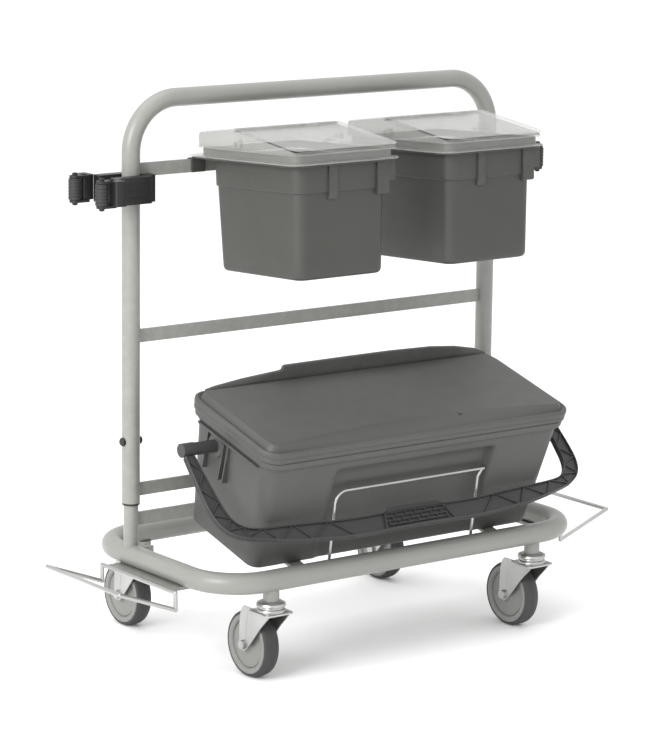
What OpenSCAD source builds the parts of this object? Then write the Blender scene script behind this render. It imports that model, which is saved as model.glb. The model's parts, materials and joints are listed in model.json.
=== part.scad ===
// Housekeeping cart: ring base on four swivel casters, an inverted-U push handle, two small
// lidded buckets on the top rail, a large tilted lidded box with a bail, wire bag loops and
// roller tool clips. Millimetres, +Z up, origin on the floor under the centre of the base ring.

/* [Base ring] */
// Half length of the base ring, centre of the tube
base_x = 421; // [418:0.5:424]
// Half depth of the base ring, centre of the tube
base_y = 216; // [214:0.5:218]
// Bend radius of the ring corners
base_bend = 96; // [90:1:100]
// Outside diameter of the base tube
base_d = 40; // [39:0.5:41]
// Height of the base tube centre
base_z = 194; // [192:0.5:196]

/* [Push handle] */
// Depth position of the two posts
post_y = 84; // [82:0.5:86]
// Outside diameter of the handle tube
handle_d = 34; // [33:0.5:35]
// Outside diameter of the post stubs
stub_d = 28; // [27:0.5:28.5]
// Height of the top tube centre
handle_z = 1043.7; // [1035:0.1:1060]
// Bend radius of the handle corners
handle_bend = 97; // [90:1:104]
// Height of the lower end of the handle tube
joint_z = 294; // [290:1:298]

/* [Rails] */
// Height of a flat rail
rail_h = 25; // [22:0.5:26]
// Thickness of a flat rail
rail_t = 5; // [4:0.5:5]
// Top edge of the bucket rail
top_rail_z = 928; // [926:0.1:928]
// Top edge of the middle rail
mid_rail_z = 620; // [600:1:640]

/* [Casters] */
// Wheel diameter
wheel_d = 125; // [124:0.5:126]
// Tread width
wheel_w = 34; // [30:0.5:35]
// Half spacing of the swivel axes along the length
caster_x = 310; // [306:1:314]
// Half spacing of the swivel axes across the depth
caster_y = 210; // [208:1:212]
// Distance of the axle behind the swivel axis
trail = 55; // [53:0.5:57]
// Axle pin diameter
axle_d = 10; // [9:0.5:11]

/* [Large box] */
// Forward tilt of the box
box_tilt = 15.45; // [15.3:0.05:15.6]
// Half length of the box floor
box_x = 328; // [322:1:332]
// Depth of the box floor
box_depth = 212; // [208:1:214]
// Wall thickness of the box
box_wall = 4; // [3.5:0.1:4.5]

/* [Bail] */
// Rest angle of the bail away from straight down
bail_angle = 46; // [45.5:0.1:48]
// Thickness of the bail band
bail_t = 12; // [9:0.5:12]
// Radius of the bail pivots
bail_pin_r = 7; // [6:0.1:8]

/* [Buckets] */
// Offset of each bucket from the centre plane
bucket_x = 171.5; // [170:0.5:173]
// Backward tilt of the buckets
bucket_tilt = 3.05; // [3:0.01:3.1]
// Half width of the bucket floor
bucket_half = 98; // [94:0.5:98]
// Wall thickness of a bucket
bucket_wall = 3; // [2.5:0.1:3.5]

/* [Wire] */
// Wire diameter of the bag loops
loop_d = 8; // [7:0.5:8]
// Half depth of the outer rod of a bag loop
loop_y = 122; // [118:1:124]
// Wire diameter of the front retainer
retainer_d = 6; // [5:0.5:6]

/* [Tool clips] */
// Height of the clip block
clip_h = 50; // [44:1:50]
// Centre height of the clips
clip_z = 883; // [880:0.5:886]
// Roller diameter
roller_d = 24; // [20:0.5:25]

/* [Hidden] */
tube_wall = 2;
straight_x = base_x - base_bend;
straight_y = base_y - base_bend;
handle_wall = (handle_d - stub_d) / 2;
leg_top_z = handle_z - handle_bend;
stub_top_z = 440;
screw_z = 411;
boss_d = 30;
boss_low_z = 155;
wheel_z = wheel_d / 2;
box_front_y = -174;
box_front_z = 205.6;
bail_u = 144;
bail_w = 187;
bucket_front_y = -230;
bucket_front_z = 740;
frame_grey = [0.70, 0.70, 0.67];
zinc_grey = [0.80, 0.80, 0.79];
box_grey = [0.42, 0.42, 0.41];
bucket_grey = [0.38, 0.38, 0.36];
dark_grey = [0.20, 0.20, 0.20];
black_grey = [0.10, 0.10, 0.10];
clear_grey = [0.85, 0.88, 0.88, 0.4];

// ---------- shared shapes ----------

// Round bar along X
module bar_x(len, d, fn = 64) {
  rotate([0, 90, 0]) cylinder(h = len, d = d, center = true, $fn = fn);
}

// Round bar along Y
module bar_y(len, d, fn = 64) {
  rotate([90, 0, 0]) cylinder(h = len, d = d, center = true, $fn = fn);
}

// Round bar between two points
module rod(p, q, d) {
  v = q - p;
  translate(p) rotate([0, acos(v[2] / norm(v)), atan2(v[1], v[0])]) cylinder(h = norm(v), d = d, $fn = 32);
}

// Quarter torus in the XY plane, from +X round to +Y
module quarter(bend, d, fn = 64) {
  rotate_extrude(angle = 90, $fn = 96) translate([bend, 0]) circle(d = d, $fn = fn);
}

// Closed ring of round tube lying flat
module flat_ring(d) {
  for (s = [-1, 1]) {
    translate([0, s * base_y, 0]) bar_x(2 * straight_x, d);
    translate([s * base_x, 0, 0]) bar_y(2 * straight_y, d);
  }
  for (k = [[1, 1, 0], [-1, 1, 90], [-1, -1, 180], [1, -1, 270]])
    translate([k[0] * straight_x, k[1] * straight_y, 0]) rotate([0, 0, k[2]]) quarter(base_bend, d);
}

// Inverted U of round tube standing in the XZ plane
module handle_shape(d, low_z) {
  for (s = [-1, 1]) {
    translate([s * base_x, 0, low_z]) cylinder(h = leg_top_z - low_z, d = d, $fn = 64);
    translate([s * (base_x - handle_bend), 0, leg_top_z])
      rotate([90, 0, 0]) rotate([0, 0, s > 0 ? 0 : 90]) quarter(handle_bend, d);
  }
  translate([0, 0, handle_z]) bar_x(2 * (base_x - handle_bend), d);
}

// Flat plate with rounded corners between two corners, thickness h
module round_plate(x0, x1, y0, y1, r, h) {
  linear_extrude(h) union() {
    translate([x0 + r, y0]) square([x1 - x0 - 2 * r, y1 - y0]);
    translate([x0, y0 + r]) square([x1 - x0, y1 - y0 - 2 * r]);
    for (cx = [x0 + r, x1 - r], cy = [y0 + r, y1 - r]) translate([cx, cy]) circle(r = r, $fn = 48);
  }
}

// Tapered body with rounded corners between a lower and an upper outline
module taper(a, b, z0, z1, r0, r1) {
  hull() {
    translate([0, 0, z0]) round_plate(a[0], a[1], a[2], a[3], r0, 0.1);
    translate([0, 0, z1 - 0.1]) round_plate(b[0], b[1], b[2], b[3], r1, 0.1);
  }
}

module box_place() {
  translate([0, box_front_y, box_front_z]) rotate([box_tilt, 0, 0]) children();
}

module bucket_place(side) {
  translate([side * bucket_x, bucket_front_y, bucket_front_z]) rotate([-bucket_tilt, 0, 0]) children();
}

// ---------- frame ----------

module base_loop() {
  color(frame_grey) difference() {
    translate([0, 0, base_z]) flat_ring(base_d);
    translate([0, 0, base_z]) flat_ring(base_d - 2 * tube_wall);
    for (s = [-1, 1]) translate([s * base_x, post_y, base_z]) cylinder(h = 40, d = stub_d, $fn = 64);
  }
}

module stub(side) {
  color(frame_grey) translate([side * base_x, post_y, 0]) difference() {
    translate([0, 0, base_z + 4]) cylinder(h = stub_top_z - base_z - 4, d = stub_d, $fn = 64);
    translate([0, 0, base_z]) cylinder(h = 300, d = stub_d - 5, $fn = 48);
    translate([0, 0, screw_z]) bar_x(60, 6, 24);
  }
}

// Four weld bosses under the tube, each with a hole for the caster stem
module caster_bosses() {
  color(frame_grey) for (sx = [-1, 1], sy = [-1, 1]) difference() {
    translate([sx * caster_x, sy * caster_y, boss_low_z]) cylinder(h = 24, d = boss_d, $fn = 64);
    translate([sx * caster_x, sy * base_y, base_z]) bar_x(boss_d + 20, base_d);
    translate([sx * caster_x, sy * caster_y, boss_low_z - 1]) cylinder(h = 20, d = 12, $fn = 48);
  }
}

// Small plates bracing each stub against the side tube
module post_gussets() {
  color(frame_grey) for (s = [-1, 1]) difference() {
    translate([s * 399, 58, 203]) cube([20, 5, 20], center = true);
    translate([s * base_x, 58, base_z]) bar_y(30, base_d);
  }
}

module push_handle() {
  color(frame_grey) translate([0, post_y, 0]) difference() {
    handle_shape(handle_d, joint_z);
    handle_shape(handle_d - 2 * handle_wall, joint_z - 1);
    translate([0, 0, screw_z]) bar_x(2 * base_x + 60, 6, 24);
  }
}

module post_rings() {
  color(black_grey) for (s = [-1, 1]) translate([s * base_x, post_y, joint_z - 3.5]) difference() {
    cylinder(h = 3.5, d = handle_d - 0.6, $fn = 64);
    translate([0, 0, -1]) cylinder(h = 6, d = stub_d, $fn = 64);
  }
}

// Cap screws through post and stub, a domed head on each side
module post_screws() {
  color(black_grey) for (s = [-1, 1]) translate([s * base_x, post_y, screw_z]) difference() {
    union() {
      bar_x(handle_d + 6, 6, 24);
      for (t = [-1, 1]) translate([t * (handle_d / 2 + 1.2), 0, 0]) rotate([0, t * 90, 0])
        rotate_extrude($fn = 48) polygon([[0, -2.6], [7, -2.6], [8, -1.4], [8, 1.6], [6.4, 3.6], [0, 4.4]]);
    }
    difference() {
      cylinder(h = 30, d = handle_d, center = true, $fn = 64);
      cylinder(h = 32, d = 20, center = true, $fn = 48);
      bar_x(handle_d + 2, 6.01, 24);
    }
  }
}

// Flat rail between the posts, ends coped to the tube
module rail(top_z, d) {
  color(frame_grey) difference() {
    translate([-base_x, post_y - rail_t / 2, top_z - rail_h]) cube([2 * base_x, rail_t, rail_h]);
    for (s = [-1, 1]) translate([s * base_x, post_y, top_z - 2 * rail_h])
      cylinder(h = 3 * rail_h, d = d, $fn = 64);
  }
}

module top_rail() { rail(top_rail_z, handle_d); }
module middle_rail() { rail(mid_rail_z, handle_d); }
module upper_low_rail() { rail(330, handle_d); }
module lower_low_rail() { rail(274, stub_d); }

// Sloped flat strap from the front tube up to the lowest rail, carrying the box
module strap(side) {
  color(frame_grey) difference() {
    box_place() translate([side * 230 - 15, -26, -5.5]) cube([30, 300, 5]);
    translate([side * 230, -base_y, base_z]) bar_x(60, base_d);
    translate([side * 230 - 30, post_y - rail_t / 2, 200]) cube([60, 60, 120]);
  }
}

// Front wire that keeps the box in place: a low U whose right leg leans out to the top wire's end
module wire_retainer() {
  lean = atan2(19, 132);
  foot = -4;
  top = 137;
  bend = 24;
  left_x = -171;
  right_x = 165;
  knee_z = 121;
  end_x = 179;
  color(zinc_grey) translate([0, -198, 205]) rotate([lean, 0, 0]) {
    translate([left_x, 0, foot]) cylinder(h = top - bend - foot, d = retainer_d, $fn = 32);
    translate([left_x + bend, 0, top - bend]) rotate([90, 0, 0]) rotate([0, 0, 90])
      rotate_extrude(angle = 90, $fn = 64) translate([bend, 0]) circle(d = retainer_d, $fn = 32);
    translate([left_x + bend, 0, top]) rotate([0, 90, 0])
      cylinder(h = end_x - left_x - bend, d = retainer_d, $fn = 32);
    translate([right_x, 0, foot]) cylinder(h = knee_z - foot, d = retainer_d, $fn = 32);
    translate([right_x, 0, knee_z]) sphere(d = retainer_d, $fn = 32);
    translate([right_x, 0, knee_z]) rotate([0, atan2(end_x - 4 - right_x, top - knee_z), 0])
      cylinder(h = 19, d = retainer_d - 0.4, $fn = 32);
  }
}

// Bag loop: outer rod, two sloping end rods, two drops and the inner rod, with knuckles at the bends
module loop_wire(side) {
  out = [580, loop_y, 186];
  low = [460, loop_y, 140];
  high = [460, loop_y, 172];
  flip = [1, -1, 1];
  path = [[for (i = [0 : 2]) out[i] * flip[i]], out, low, high,
    [for (i = [0 : 2]) high[i] * flip[i]], [for (i = [0 : 2]) low[i] * flip[i]]];
  color(zinc_grey) mirror([side > 0 ? 0 : 1, 0, 0]) for (i = [0 : 5]) {
    rod(path[i], path[(i + 1) % 6], loop_d);
    translate(path[i]) sphere(d = loop_d + 0.4, $fn = 32);
  }
}

// Flat brackets that carry the inner rods under the side tubes
module bag_loop_brackets() {
  color(frame_grey) for (s = [-1, 1]) difference() {
    translate([s * 430.5, 5, 171]) cube([51, 210, 6], center = true);
    translate([s * base_x, 0, base_z]) bar_y(300, base_d);
    translate([s * 460, 0, 172]) bar_y(300, loop_d, 32);
  }
}

// ---------- tool clips ----------

// Block clamped round the post with two short arms that hold the rollers
module clip_block(side) {
  low = clip_z - clip_h / 2;
  color(black_grey) mirror([side > 0 ? 0 : 1, 0, 0]) translate([0, post_y, 0]) difference() {
    union() {
      translate([base_x - 23, -24, low]) cube([52, 48, clip_h]);
      translate([base_x - 6, -39, low]) cube([62, 20, clip_h]);
      translate([base_x - 6, 19, low]) cube([62, 20, clip_h]);
      for (s = [-1, 1]) translate([513, s * 45, low]) {
        translate([-38, s > 0 ? -26 : -6, 0]) cube([24, 32, clip_h]);
        for (z = [0, clip_h - 5]) translate([0, 0, z]) cylinder(h = 5, d = 20, $fn = 48);
        for (z = [0, clip_h - 5]) translate([-26, -10, z]) cube([26, 20, 5]);
      }
      translate([base_x + 29, -20, low + 6]) cube([14, 40, clip_h - 12]);
    }
    translate([base_x, 0, low - 1]) cylinder(h = clip_h + 2, d = handle_d, $fn = 64);
    for (s = [-1, 1]) translate([513, s * 45, low - 1]) cylinder(h = clip_h + 2, d = 6, $fn = 32);
    for (s = [-1, 1]) translate([513, s * 45, low + 5]) cylinder(h = clip_h - 10, d = roller_d + 3, $fn = 48);
    translate([base_x - 40, 0, clip_z + 2]) bar_x(60, 10.1, 32);
    translate([base_x - 30, -0.75, low - 1]) cube([14, 1.5, clip_h + 2]);
    // notch for the end of the bucket rail
    translate([base_x - 30, -rail_t / 2 - 0.4, top_rail_z - rail_h - 0.4]) cube([14, rail_t + 0.8, 20]);
  }
}

module clip_pins() {
  color(black_grey) for (sx = [-1, 1], sy = [-1, 1])
    translate([sx * 513, post_y + sy * 45, clip_z - clip_h / 2 - 5]) {
      cylinder(h = clip_h + 10, d = 6, $fn = 32);
      translate([0, 0, 1]) cylinder(h = 3.9, d = 10, $fn = 32);
      translate([0, 0, clip_h + 5.1]) cylinder(h = 3.9, d = 10, $fn = 32);
    }
}

// Ribbed rubber roller with a bore for its pin
module roller(sx, sy) {
  color(dark_grey) translate([sx * 513, post_y + sy * 45, clip_z - clip_h / 2 + 5.4]) difference() {
    union() {
      cylinder(h = clip_h - 10.8, d = roller_d - 2, $fn = 48);
      for (z = [1.2 : 6.1 : clip_h - 14]) translate([0, 0, z]) cylinder(h = 4, d = roller_d, $fn = 48);
    }
    translate([0, 0, -1]) cylinder(h = clip_h, d = 6.1, $fn = 32);
  }
}

// Clamping knob on the inner side of the post
module knob(side) {
  color(black_grey) translate([side * (base_x - 23.4), post_y, clip_z + 2]) rotate([0, -side * 90, 0]) {
    translate([0, 0, -5]) cylinder(h = 6, d = 10, $fn = 32);
    rotate_extrude($fn = 48)
      polygon([[0, 0], [7, 0], [7, 3], [11, 4], [12, 6], [12, 13], [10.5, 15], [0, 15.6]]);
    for (a = [0 : 45 : 315]) rotate([0, 0, a]) translate([11.4, 0, 4.5]) cylinder(h = 8, d = 4, $fn = 20);
  }
}

// ---------- casters ----------

module caster_place(sx, sy) {
  translate([sx * caster_x, sy * caster_y, 0]) children();
}

// Fixed stem with the domed dust cap
module caster_cap(sx, sy) {
  color(zinc_grey) caster_place(sx, sy) {
    rotate_extrude($fn = 64) polygon([[0, 128], [9, 128], [9, 131.7], [5.92, 131.7], [5.92, 147],
      [27, 147], [27.5, 148.5], [26, 152], [20, 154.8], [6, 155], [6, 172], [0, 172]]);
  }
}

// Outline of one fork leg in the YZ plane, seen from the side
module leg_outline() {
  difference() {
    union() {
      polygon([[-28, 142], [-28, 137], [-20, 127], [2, 103], [30, 70], [45, 56], [64, 52],
        [65, 62.5], [66, 90], [64, 118], [58, 137], [40, 142]]);
      translate([trail, wheel_z]) circle(r = 12, $fn = 48);
    }
    translate([trail, wheel_z]) circle(d = axle_d, $fn = 48);
  }
}

// Pressed fork: crown plate with ball race and two swept legs
module caster_fork(sx, sy) {
  color(zinc_grey) caster_place(sx, sy) difference() {
    union() {
      for (s = [-1, 1]) translate([s * 22 - 1.5, 0, 0]) rotate([90, 0, 90]) linear_extrude(3) leg_outline();
      translate([0, 0, 132]) round_plate(-31, 31, -31, 31, 8, 4);
      translate([0, 0, 136]) cylinder(h = 6, d = 54, $fn = 64);
      translate([0, 0, 142]) cylinder(h = 4, d = 46, $fn = 64);
      translate([-22, -28, 136]) cube([44, 4, 4]);
    }
    translate([0, 0, 120]) cylinder(h = 40, d = 12, $fn = 48);
    translate([0, 0, 126]) cylinder(h = 6, d = 19, $fn = 48);
  }
}

module caster_axle(sx, sy) {
  color(zinc_grey) caster_place(sx, sy) translate([0, trail, wheel_z]) {
    bar_x(48, axle_d, 48);
    for (s = [-1, 1]) translate([s * 23.55, 0, 0]) rotate([0, s * 90, 0]) cylinder(h = 5, d = 17, $fn = 24);
  }
}

module caster_hub(sx, sy) {
  r = wheel_d / 2;
  color([0.62, 0.62, 0.60]) caster_place(sx, sy) translate([0, trail, wheel_z]) rotate([0, 90, 0])
    rotate_extrude($fn = 96) polygon([[axle_d / 2 + 0.06, -19.5], [13, -19.5], [14.5, -17], [16, -13],
      [r * 0.66, -11], [r * 0.70, -13.5], [r * 0.76, -13.5], [r * 0.76, 13.5], [r * 0.70, 13.5],
      [r * 0.66, 11], [16, 13], [14.5, 17], [13, 19.5], [axle_d / 2 + 0.06, 19.5]]);
}

module caster_tyre(sx, sy) {
  r = wheel_d / 2;
  h = wheel_w / 2;
  color([0.27, 0.27, 0.27]) caster_place(sx, sy) translate([0, trail, wheel_z]) rotate([0, 90, 0])
    rotate_extrude($fn = 96) polygon([[r * 0.76, -13.5], [r * 0.80, -15], [r * 0.88, -h],
      [r * 0.94, -h + 0.8], [r * 0.98, -h + 4.5], [r, -h + 10], [r, h - 10], [r * 0.98, h - 4.5],
      [r * 0.94, h - 0.8], [r * 0.88, h], [r * 0.80, 15], [r * 0.76, 13.5]]);
}

// ---------- small buckets ----------

module bucket_tub(side) {
  b = bucket_half;
  t = bucket_wall;
  color(bucket_grey) bucket_place(side) {
    difference() {
      union() {
        taper([-b, b, 0, 249], [-b - 3, b + 3, -9, 261], 0, 205.2, 22, 24);
        translate([0, 0, 157]) round_plate(-b - 5, b + 5, -12, 263, 25, 48.2);
        translate([0, 0, 205.2]) round_plate(-118, 118, -23, 314, 22, 3);
        // front rib, right front panel and its side lug
        translate([-36, -15, 142]) cube([18, 12, 64]);
        translate([72, -15, 145]) cube([b - 72, 12, 61]);
        translate([b - 6, -14.5, 168]) cube([21, 14, 38]);
      }
      taper([-b + t, b - t, t, 249 - t], [-b + t - 3, b - t + 3, t - 9, 261 - t], t, 209, 19, 21);
    }
    // hook tabs either side of the rail
    for (x = [-106, 106]) {
      translate([x - 15, 0, 0]) rotate([bucket_tilt, 0, 0]) {
        translate([0, post_y - 6.5 - bucket_front_y - 3.2, 903.5 - bucket_front_z]) cube([30, 3.2, 26]);
        translate([0, post_y + 3.4 - bucket_front_y, 903.5 - bucket_front_z]) cube([30, 3.2, 26]);
      }
    }
    for (x = [-60, 60]) translate([x - 1.5, 262, 175]) cube([3, 32, 30.4]);
  }
}

// Clear lid tray: flange, neck, upper ledge, rear roof and cheeks under the flap
module bucket_lid(side) {
  color(clear_grey) bucket_place(side) {
    difference() {
      union() {
        translate([0, 0, 208.6]) round_plate(-122.5, 122.5, -28, 319, 24, 3);
        translate([0, 0, 211.6]) round_plate(-111, 111, -17, 285, 18, 14.4);
        translate([0, 0, 226]) round_plate(-118, 118, -24, 291, 20, 2.6);
        rotate([90, 0, 90]) translate([0, 0, -114]) linear_extrude(228)
          polygon([[-14, 228], [-14, 233.4], [157, 262.7], [170, 266.6], [279, 255.4], [281, 228]]);
      }
      translate([0, 0, 200]) round_plate(-108, 108, -14, 278, 15, 28);
      rotate([90, 0, 90]) translate([0, 0, -111.5]) linear_extrude(223)
        polygon([[-18, 225], [-18, 231.3], [150, 262], [160, 280], [172, 263.6], [276.6, 252.6],
          [278, 225]]);
      translate([0, 164, 263]) bar_x(240, 9.2, 32);
      translate([0, 164, 268]) cube([240, 9.2, 10], center = true);
    }
    // hinge knuckles on the rear roof
    for (x = [-56, 56]) translate([x, 164, 263]) difference() {
      union() {
        bar_x(30, 8, 32);
        translate([-15, 2, -1]) cube([30, 7, 2.4]);
      }
      bar_x(40, 3, 24);
    }
    // side lugs at the ends of the hinge line
    for (x = [-115.5, 115.5]) translate([x, 150, 240]) bar_x(3, 14, 32);
    for (x = [-115.5, 115.5]) translate([x, 166, 238]) bar_x(3, 9, 32);
  }
}

// Front flap that opens upwards about the ridge
module bucket_flap(side) {
  color(clear_grey) bucket_place(side) {
    difference() {
      union() {
        rotate([90, 0, 90]) translate([0, 0, -118]) linear_extrude(236)
          polygon([[-24, 236.6], [-24, 233.4], [-21, 232.6], [157, 263.2], [163, 264.6], [163, 267],
            [156, 266.8]]);
        for (x = [-93, 0, 93]) translate([x, 164, 263]) bar_x(x == 0 ? 80 : 42, 8, 32);
      }
      for (x = [-56, 56]) translate([x, 166, 263]) cube([31, 12, 14], center = true);
      translate([0, 164, 263]) bar_x(240, 3.1, 24);
      translate([0, 20, 243]) rotate([9.7, 0, 0]) translate([0, 0, 0.4]) cylinder(h = 10, r = 16, $fn = 48);
    }
    translate([0, 20, 243]) rotate([9.7, 0, 0]) translate([0, 0, -2.2]) cylinder(h = 3, r = 18, $fn = 48);
  }
}

module flap_pin(side) {
  color(zinc_grey) bucket_place(side) translate([0, 164, 263]) bar_x(226, 3, 24);
}

// ---------- large box ----------

module box_tub() {
  b = box_x;
  t = box_wall;
  d = box_depth;
  color(box_grey) box_place() difference() {
    union() {
      taper([-b, b, 0, d], [-b - 17, b + 17, -21, d + 21], 0, 240, 24, 28);
      translate([0, 0, 217]) round_plate(-352, 352, -26, d + 26, 31, 11.6);
      translate([0, 0, 209]) round_plate(-347, 347, -22, d + 22, 29, 8);
      // thickened pads behind the bail pivots
      for (s = [-1, 1]) translate([s * 341, bail_u, bail_w]) bar_x(17.4, 40, 48);
      for (s = [-1, 1], k = [-34, 34]) translate([s * 340 - 5, bail_u + k - 3, 110]) cube([10, 6, 92]);
    }
    difference() {
      taper([-b + t, b - t, t, d - t], [-b + t - 17, b - t + 17, t - 21, d - t + 21], t, 241, 21, 25);
      rotate([90, 0, 90]) translate([0, 0, -184]) linear_extrude(368)
        polygon([[-60, -5], [6, -5], [8, 60], [8, 190], [2, 199], [-60, 199]]);
    }
    rotate([90, 0, 90]) translate([0, 0, -180]) linear_extrude(360)
      polygon([[-60, -5], [2, -5], [4, 60], [4, 186], [-22, 194], [-60, 194]]);
    for (s = [-1, 1]) translate([s * 345, bail_u, bail_w]) bar_x(60, 2 * bail_pin_r - 2, 48);
  }
}

module box_lid() {
  d = box_depth;
  color(box_grey) box_place() {
    difference() {
      union() {
        translate([0, 0, 229]) round_plate(-355, 355, -27, d + 27, 32, 13);
        translate([0, 0, 242]) round_plate(-357, 357, -29, d + 29, 34, 8);
        taper([-357, 357, -29, d + 29], [-346, 346, -18, d + 20], 249.9, 262, 34, 28);
      }
      translate([0, 0, 228]) round_plate(-351, 351, -24, d + 24, 29, 12.4);
      taper([-351, 351, -24, d + 24], [-341, 341, -14, d + 16], 240.3, 258, 29, 24);
    }
    // raised rear lip, long part and lower tapered ends
    rotate([90, 0, 0]) translate([0, 0, -d - 24]) linear_extrude(6)
      polygon([[-320, 255], [-155, 274], [-151, 284], [100, 285], [250, 279], [339, 262], [339, 255]]);
  }
}

// Outer and inner outline of the bail, half width against distance from the pivot line
module bail_half() {
  polygon([[0, 198], [184, 198], [222, 194], [304, 189], [368, 186], [387, 171], [400, 143], [403, 18],
    [413, 6], [413, -12], [424, -14], [430, 0], [430, 150], [418, 180], [392, 200], [350, 210],
    [280, 224], [230, 229], [150, 234], [0, 233]]);
}

module box_bail() {
  color(dark_grey) translate([0, box_front_y, box_front_z]) rotate([box_tilt, 0, 0])
    translate([0, bail_u, bail_w]) rotate([-box_tilt, 0, 0]) rotate([-bail_angle, 0, 0]) {
      difference() {
        translate([0, bail_t / 2, 0]) rotate([90, 0, 0]) linear_extrude(bail_t) mirror([0, 1, 0]) union() {
          bail_half();
          mirror([1, 0, 0]) bail_half();
          translate([-74, 186]) square([148, 20]);
        }
        for (s = [-1, 1], f = [-1, 1]) {
          for (k = [0 : 5])
            translate([s * (110 + k * 46), f * (bail_t / 2 - 1.5), k < 3 ? -214 + k * 1.5 : -213 + k * 3])
              cube([36, 3.02, k < 5 ? 20 - k : 10], center = true);
          for (k = [0 : 3]) translate([s * 416, f * (bail_t / 2 - 1.5), -34 - k * 34])
            cube([14, 3.02, 26], center = true);
        }
        for (k = [-2 : 2]) translate([k * 24, -bail_t / 2 + 1, -208]) cube([18, 2.02, 9], center = true);
        for (k = [-1.5 : 1.5]) translate([k * 24, -bail_t / 2 + 1, -221]) cube([18, 2.02, 9], center = true);
        for (s = [-1, 1]) translate([s * 405.5, 0, 0]) bar_x(31, 2 * bail_pin_r + 0.1, 48);
      }
      for (s = [-1, 1]) difference() {
        translate([s * 408.5, 0, 0]) bar_x(23, 26, 48);
        translate([s * 405.5, 0, 0]) bar_x(31, 2 * bail_pin_r + 0.1, 48);
      }
    }
}

// Pivot pins: a stub boss outside the box wall and a shaft through the end of the bail
module bail_pins() {
  color(dark_grey) box_place() for (s = [-1, 1]) translate([s * 335, bail_u, bail_w]) rotate([0, s * 90, 0]) {
    cylinder(h = 20, r = bail_pin_r - 1, $fn = 48);
    translate([0, 0, 15.1]) cylinder(h = 46.5, r = 12, $fn = 48);
    translate([0, 0, 60]) cylinder(h = 25.5, r = bail_pin_r, $fn = 48);
  }
}

// ---------- nodes ----------

base_loop();
stub(-1);  // left_stub
stub(1);  // right_stub
caster_bosses();
post_gussets();
push_handle();
post_rings();
post_screws();
top_rail();
middle_rail();
upper_low_rail();
lower_low_rail();
strap(-1);  // left_strap
strap(1);  // right_strap
wire_retainer();
loop_wire(-1);  // left_bag_loop
loop_wire(1);  // right_bag_loop
bag_loop_brackets();
clip_block(-1);  // left_clip
clip_block(1);  // right_clip
clip_pins();
roller(-1, -1);  // left_front_roller
roller(-1, 1);  // left_rear_roller
roller(1, -1);  // right_front_roller
roller(1, 1);  // right_rear_roller
knob(-1);  // left_knob
knob(1);  // right_knob
caster_cap(-1, -1);  // fl_cap
caster_cap(1, -1);  // fr_cap
caster_cap(-1, 1);  // rl_cap
caster_cap(1, 1);  // rr_cap
caster_fork(-1, -1);  // fl_fork
caster_fork(1, -1);  // fr_fork
caster_fork(-1, 1);  // rl_fork
caster_fork(1, 1);  // rr_fork
caster_axle(-1, -1);  // fl_axle
caster_axle(1, -1);  // fr_axle
caster_axle(-1, 1);  // rl_axle
caster_axle(1, 1);  // rr_axle
caster_hub(-1, -1);  // fl_hub
caster_hub(1, -1);  // fr_hub
caster_hub(-1, 1);  // rl_hub
caster_hub(1, 1);  // rr_hub
caster_tyre(-1, -1);  // fl_tyre
caster_tyre(1, -1);  // fr_tyre
caster_tyre(-1, 1);  // rl_tyre
caster_tyre(1, 1);  // rr_tyre
bucket_tub(-1);  // left_tub
bucket_lid(-1);  // left_lid
bucket_flap(-1);  // left_flap
bucket_tub(1);  // right_tub
bucket_lid(1);  // right_lid
bucket_flap(1);  // right_flap
flap_pin(-1);  // left_flap_pin
flap_pin(1);  // right_flap_pin
box_tub();
box_lid();
box_bail();
bail_pins();
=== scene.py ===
import json
import math
import bmesh
import bpy
from mathutils import Matrix, Vector


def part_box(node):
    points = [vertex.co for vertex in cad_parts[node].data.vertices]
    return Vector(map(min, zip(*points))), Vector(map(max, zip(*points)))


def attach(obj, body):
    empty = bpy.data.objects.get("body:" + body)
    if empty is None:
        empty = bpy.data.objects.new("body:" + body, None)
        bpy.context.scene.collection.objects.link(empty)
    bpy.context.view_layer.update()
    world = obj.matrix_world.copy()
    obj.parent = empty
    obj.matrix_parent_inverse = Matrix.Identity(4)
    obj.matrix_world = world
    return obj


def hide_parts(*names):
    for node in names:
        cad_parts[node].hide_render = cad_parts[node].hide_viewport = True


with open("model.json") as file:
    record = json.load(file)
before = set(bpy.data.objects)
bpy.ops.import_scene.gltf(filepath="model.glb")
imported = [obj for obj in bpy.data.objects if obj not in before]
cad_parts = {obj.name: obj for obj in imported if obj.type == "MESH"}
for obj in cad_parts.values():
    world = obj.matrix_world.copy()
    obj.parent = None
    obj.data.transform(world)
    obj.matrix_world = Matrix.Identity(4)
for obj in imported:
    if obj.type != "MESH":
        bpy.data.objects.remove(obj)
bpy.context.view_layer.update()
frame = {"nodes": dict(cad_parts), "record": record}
nodes = frame["nodes"]


# ---------- camera, light and floor ----------

CAMERA_PLACE = (-3.562, -4.704, 1.686)
CAMERA_YAW, CAMERA_PITCH, CAMERA_ROLL = 36.85, 11.34, 0.70
CAMERA_LENS = 151.7
SENSOR_WIDTH = 36.0
WORLD_STRENGTH = 1.04
FLOOR_HALF = 60.0
# name, place, target, size and power of each soft light
LIGHTS = (
    ("key", (-4.2, -1.2, 2.6), (0.0, 0.0, 0.5), (2.6, 2.6), 165.0),
    ("fill", (0.5, -5.0, 3.2), (0.0, 0.0, 0.5), (3.0, 2.0), 6.0),
    ("top", (-0.6, 0.4, 4.6), (0.0, 0.0, 0.0), (4.0, 4.0), 70.0),
)


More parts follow.
